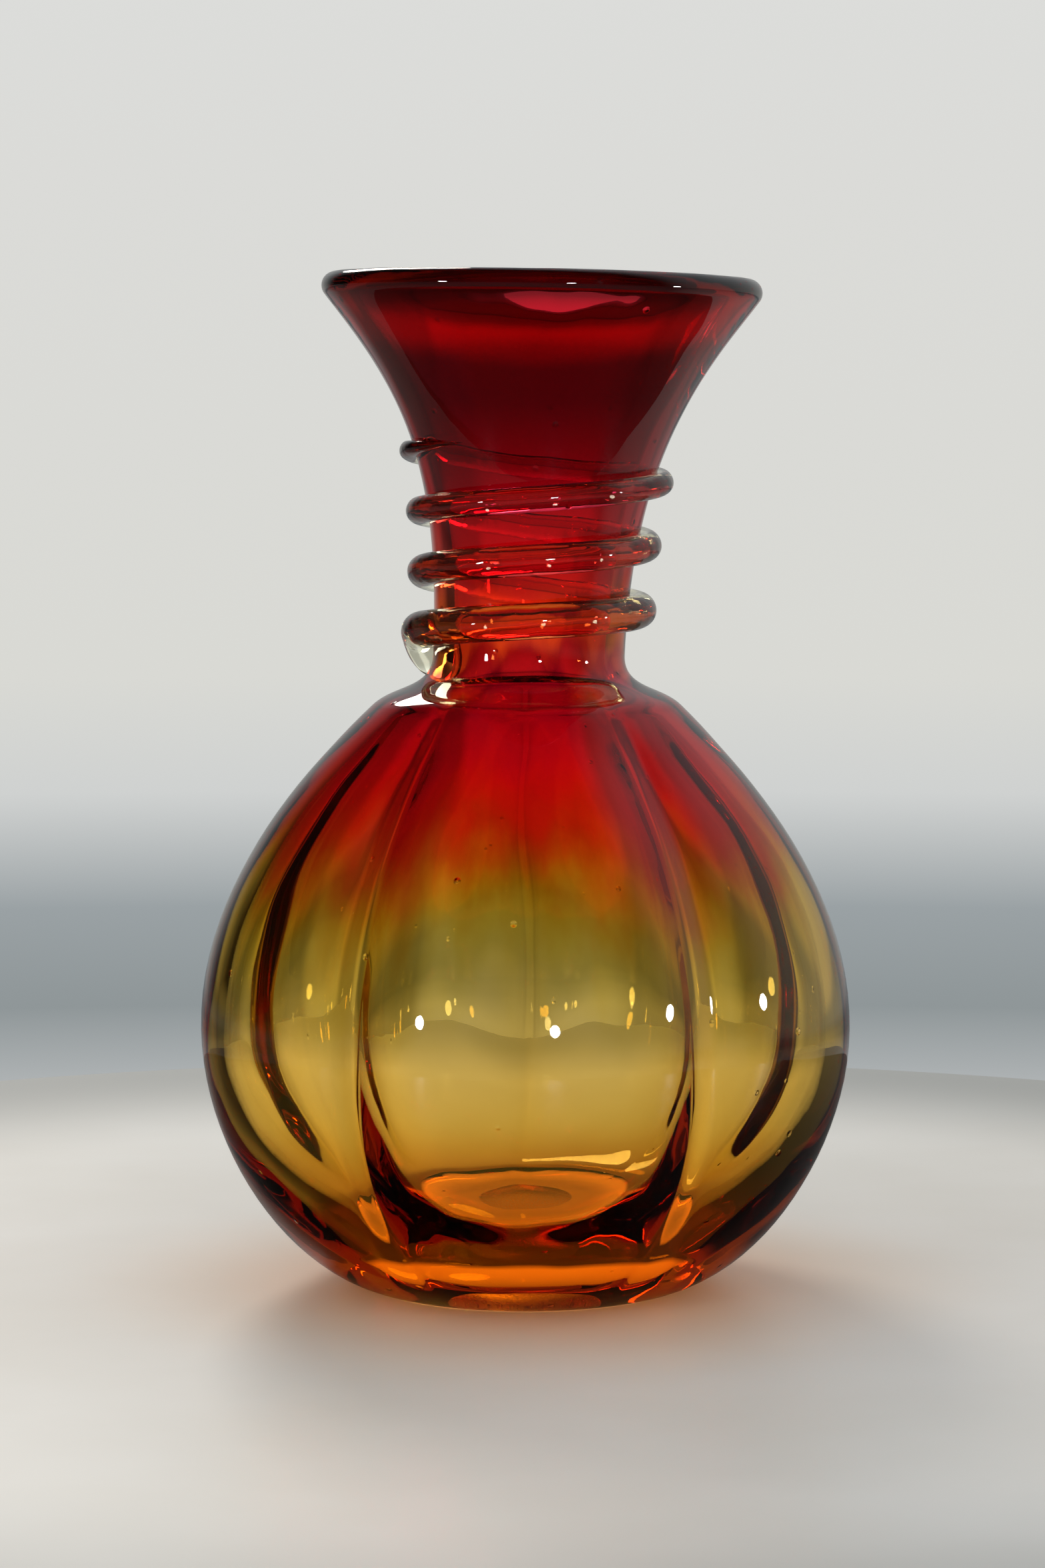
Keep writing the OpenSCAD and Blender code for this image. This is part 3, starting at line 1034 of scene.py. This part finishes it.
    def world(self) -> None:
        """The backdrop: pale all round, a greyer band low down, and a dim room for reflections.

        Light that glass passes sees the pale backdrop as brighter and darker strips, brighter still
        high up. What glass mirrors, outside or inside its walls, is bright only towards the far side
        and the right, as in a room with one large window, and a little below the table.
        """
        world = bpy.data.worlds.new("studio")
        bpy.context.scene.world = world
        world.use_nodes = True
        tree = world.node_tree
        tree.nodes.clear()
        way = add_node(tree, "ShaderNodeTexCoord").outputs["Generated"]
        axes = add_node(tree, "ShaderNodeSeparateXYZ", way)
        share = add_node(tree, "ShaderNodeMapRange", axes.outputs["Z"], -0.4, 0.6)
        ramp = add_node(tree, "ShaderNodeValToRGB", share)
        stops = [
            (0.0, "#c9c8c4"),
            (0.235, "#bcbfc0"),
            (0.262, "#8f9698"),
            (0.285, "#9aa1a4"),
            (0.312, "#cfd1d0"),
            (0.34, "#d9d9d4"),
            (0.46, "#dbdbd8"),
            (1.0, "#e6ecf0"),
        ]
        fill_ramp(ramp, stops)
        high = axes.outputs["Z"]
        glare = add_node(tree, "ShaderNodeMapRange", high, 0.25, 0.7, 1.0, self.glare, **SMOOTH)
        # A bright strip every eighth of a turn, with darker ones between, draws the edges of the glass.
        azimuth = add_node(
            tree, "ShaderNodeMath", axes.outputs["Y"], axes.outputs["X"], operation="ARCTAN2"
        )
        azimuth = add_node(tree, "ShaderNodeMath", azimuth, self.strips, operation="MULTIPLY")
        azimuth = add_node(tree, "ShaderNodeMath", azimuth, operation="COSINE")
        strips = add_node(tree, "ShaderNodeMapRange", azimuth, 0.25, 0.9, *self.strip_light, **SMOOTH)
        side = add_node(tree, "ShaderNodeMath", axes.outputs["X"], self.side_share, operation="MULTIPLY")
        side = add_node(tree, "ShaderNodeMath", side, axes.outputs["Y"], operation="ADD")
        far_side = add_node(tree, "ShaderNodeMapRange", side, 0.2, 0.75, *self.room_light, **SMOOTH)
        low = add_node(tree, "ShaderNodeMapRange", high, -0.02, -0.1, 0.0, self.low_light, **SMOOTH)
        room = add_node(tree, "ShaderNodeMath", far_side, low, operation="MAXIMUM")
        path = add_node(tree, "ShaderNodeLightPath")
        passed = add_node(
            tree, "ShaderNodeMath", path.outputs["Transmission Depth"], 1.0, operation="MINIMUM"
        )
        mirrored = add_node(tree, "ShaderNodeMath", path.outputs["Glossy Depth"], 1.0, operation="MINIMUM")
        strips = add_node(tree, "ShaderNodeMath", strips, glare, operation="MULTIPLY")
        strength = add_node(tree, "ShaderNodeMix", passed, 1.0, strips)
        strength = add_node(tree, "ShaderNodeMix", mirrored, strength, room)
        light = add_node(tree, "ShaderNodeBackground", ramp.outputs["Color"], strength)
        add_node(tree, "ShaderNodeOutputWorld", light)

    def lamp(
        self, name: str, side: float, place: tuple[float, float, float], power: float, colour: str
    ) -> bpy.types.Object:
        """A round soft light that faces the middle of the vase.

        Args:
            name: the light's name.
            side: its diameter.
            place: where it stands.
            power: its power in watts.
            colour: its colour.

        Returns:
            The light.
        """
        light = bpy.data.lights.new(name, "AREA")
        light.shape = "DISK"
        light.size = side
        light.energy = power
        light.color = linear(colour)[:3]
        made = bpy.data.objects.new(name, light)
        made.location = place
        target = bpy.data.objects["vase_middle"].location
        made.rotation_euler = (target - made.location).to_track_quat("-Z", "Y").to_euler()
        made.visible_camera = False
        bpy.context.scene.collection.objects.link(made)
        return made

    def camera(self) -> None:
        """The camera, a little below the height of the lip and looking slightly down."""
        data = bpy.data.cameras.new("camera")
        data.lens = self.focal
        data.sensor_width = self.sensor
        data.clip_start = 0.05
        made = bpy.data.objects.new("camera", data)
        made.location = self.camera_place
        made.rotation_euler = (math.radians(self.camera_tilt), 0.0, 0.0)
        bpy.context.scene.collection.objects.link(made)
        bpy.context.scene.camera = made

    def build(self) -> None:
        """Sets up the whole studio."""
        middle = bpy.data.objects.new("vase_middle", None)
        middle.location = (0.0, 0.0, 80 * MM)
        bpy.context.scene.collection.objects.link(middle)
        self.table()
        self.world()
        self.lamp("window", self.window_size, self.window_place, self.window_power, "#fff6ea")
        for name, turn in zip(("left", "front", "right"), self.lamp_turns):
            x = self.lamp_run * math.sin(math.radians(turn))
            y = -self.lamp_run * math.cos(math.radians(turn))
            place = (x, y, self.lamp_z)
            self.lamp(f"lamp_{name}", self.lamp_size, place, self.lamp_power, "#ffffff")
        self.camera()
        scene = bpy.context.scene
        scene.view_settings.view_transform = "Standard"
        scene.cycles.max_bounces = self.passed_bounces
        scene.cycles.transmission_bounces = self.passed_bounces
        scene.cycles.glossy_bounces = self.mirrored_bounces


def main() -> None:
    """Builds the vase and the studio."""
    logging.basicConfig(level=logging.INFO, format="%(name)s: %(message)s")
    Studio().build()
    vessel = BlownVessel()
    blown = vessel.build()
    NeckTrail(vessel).build(blown)
    log.info("size written")


if __name__ == "__main__":
    main()
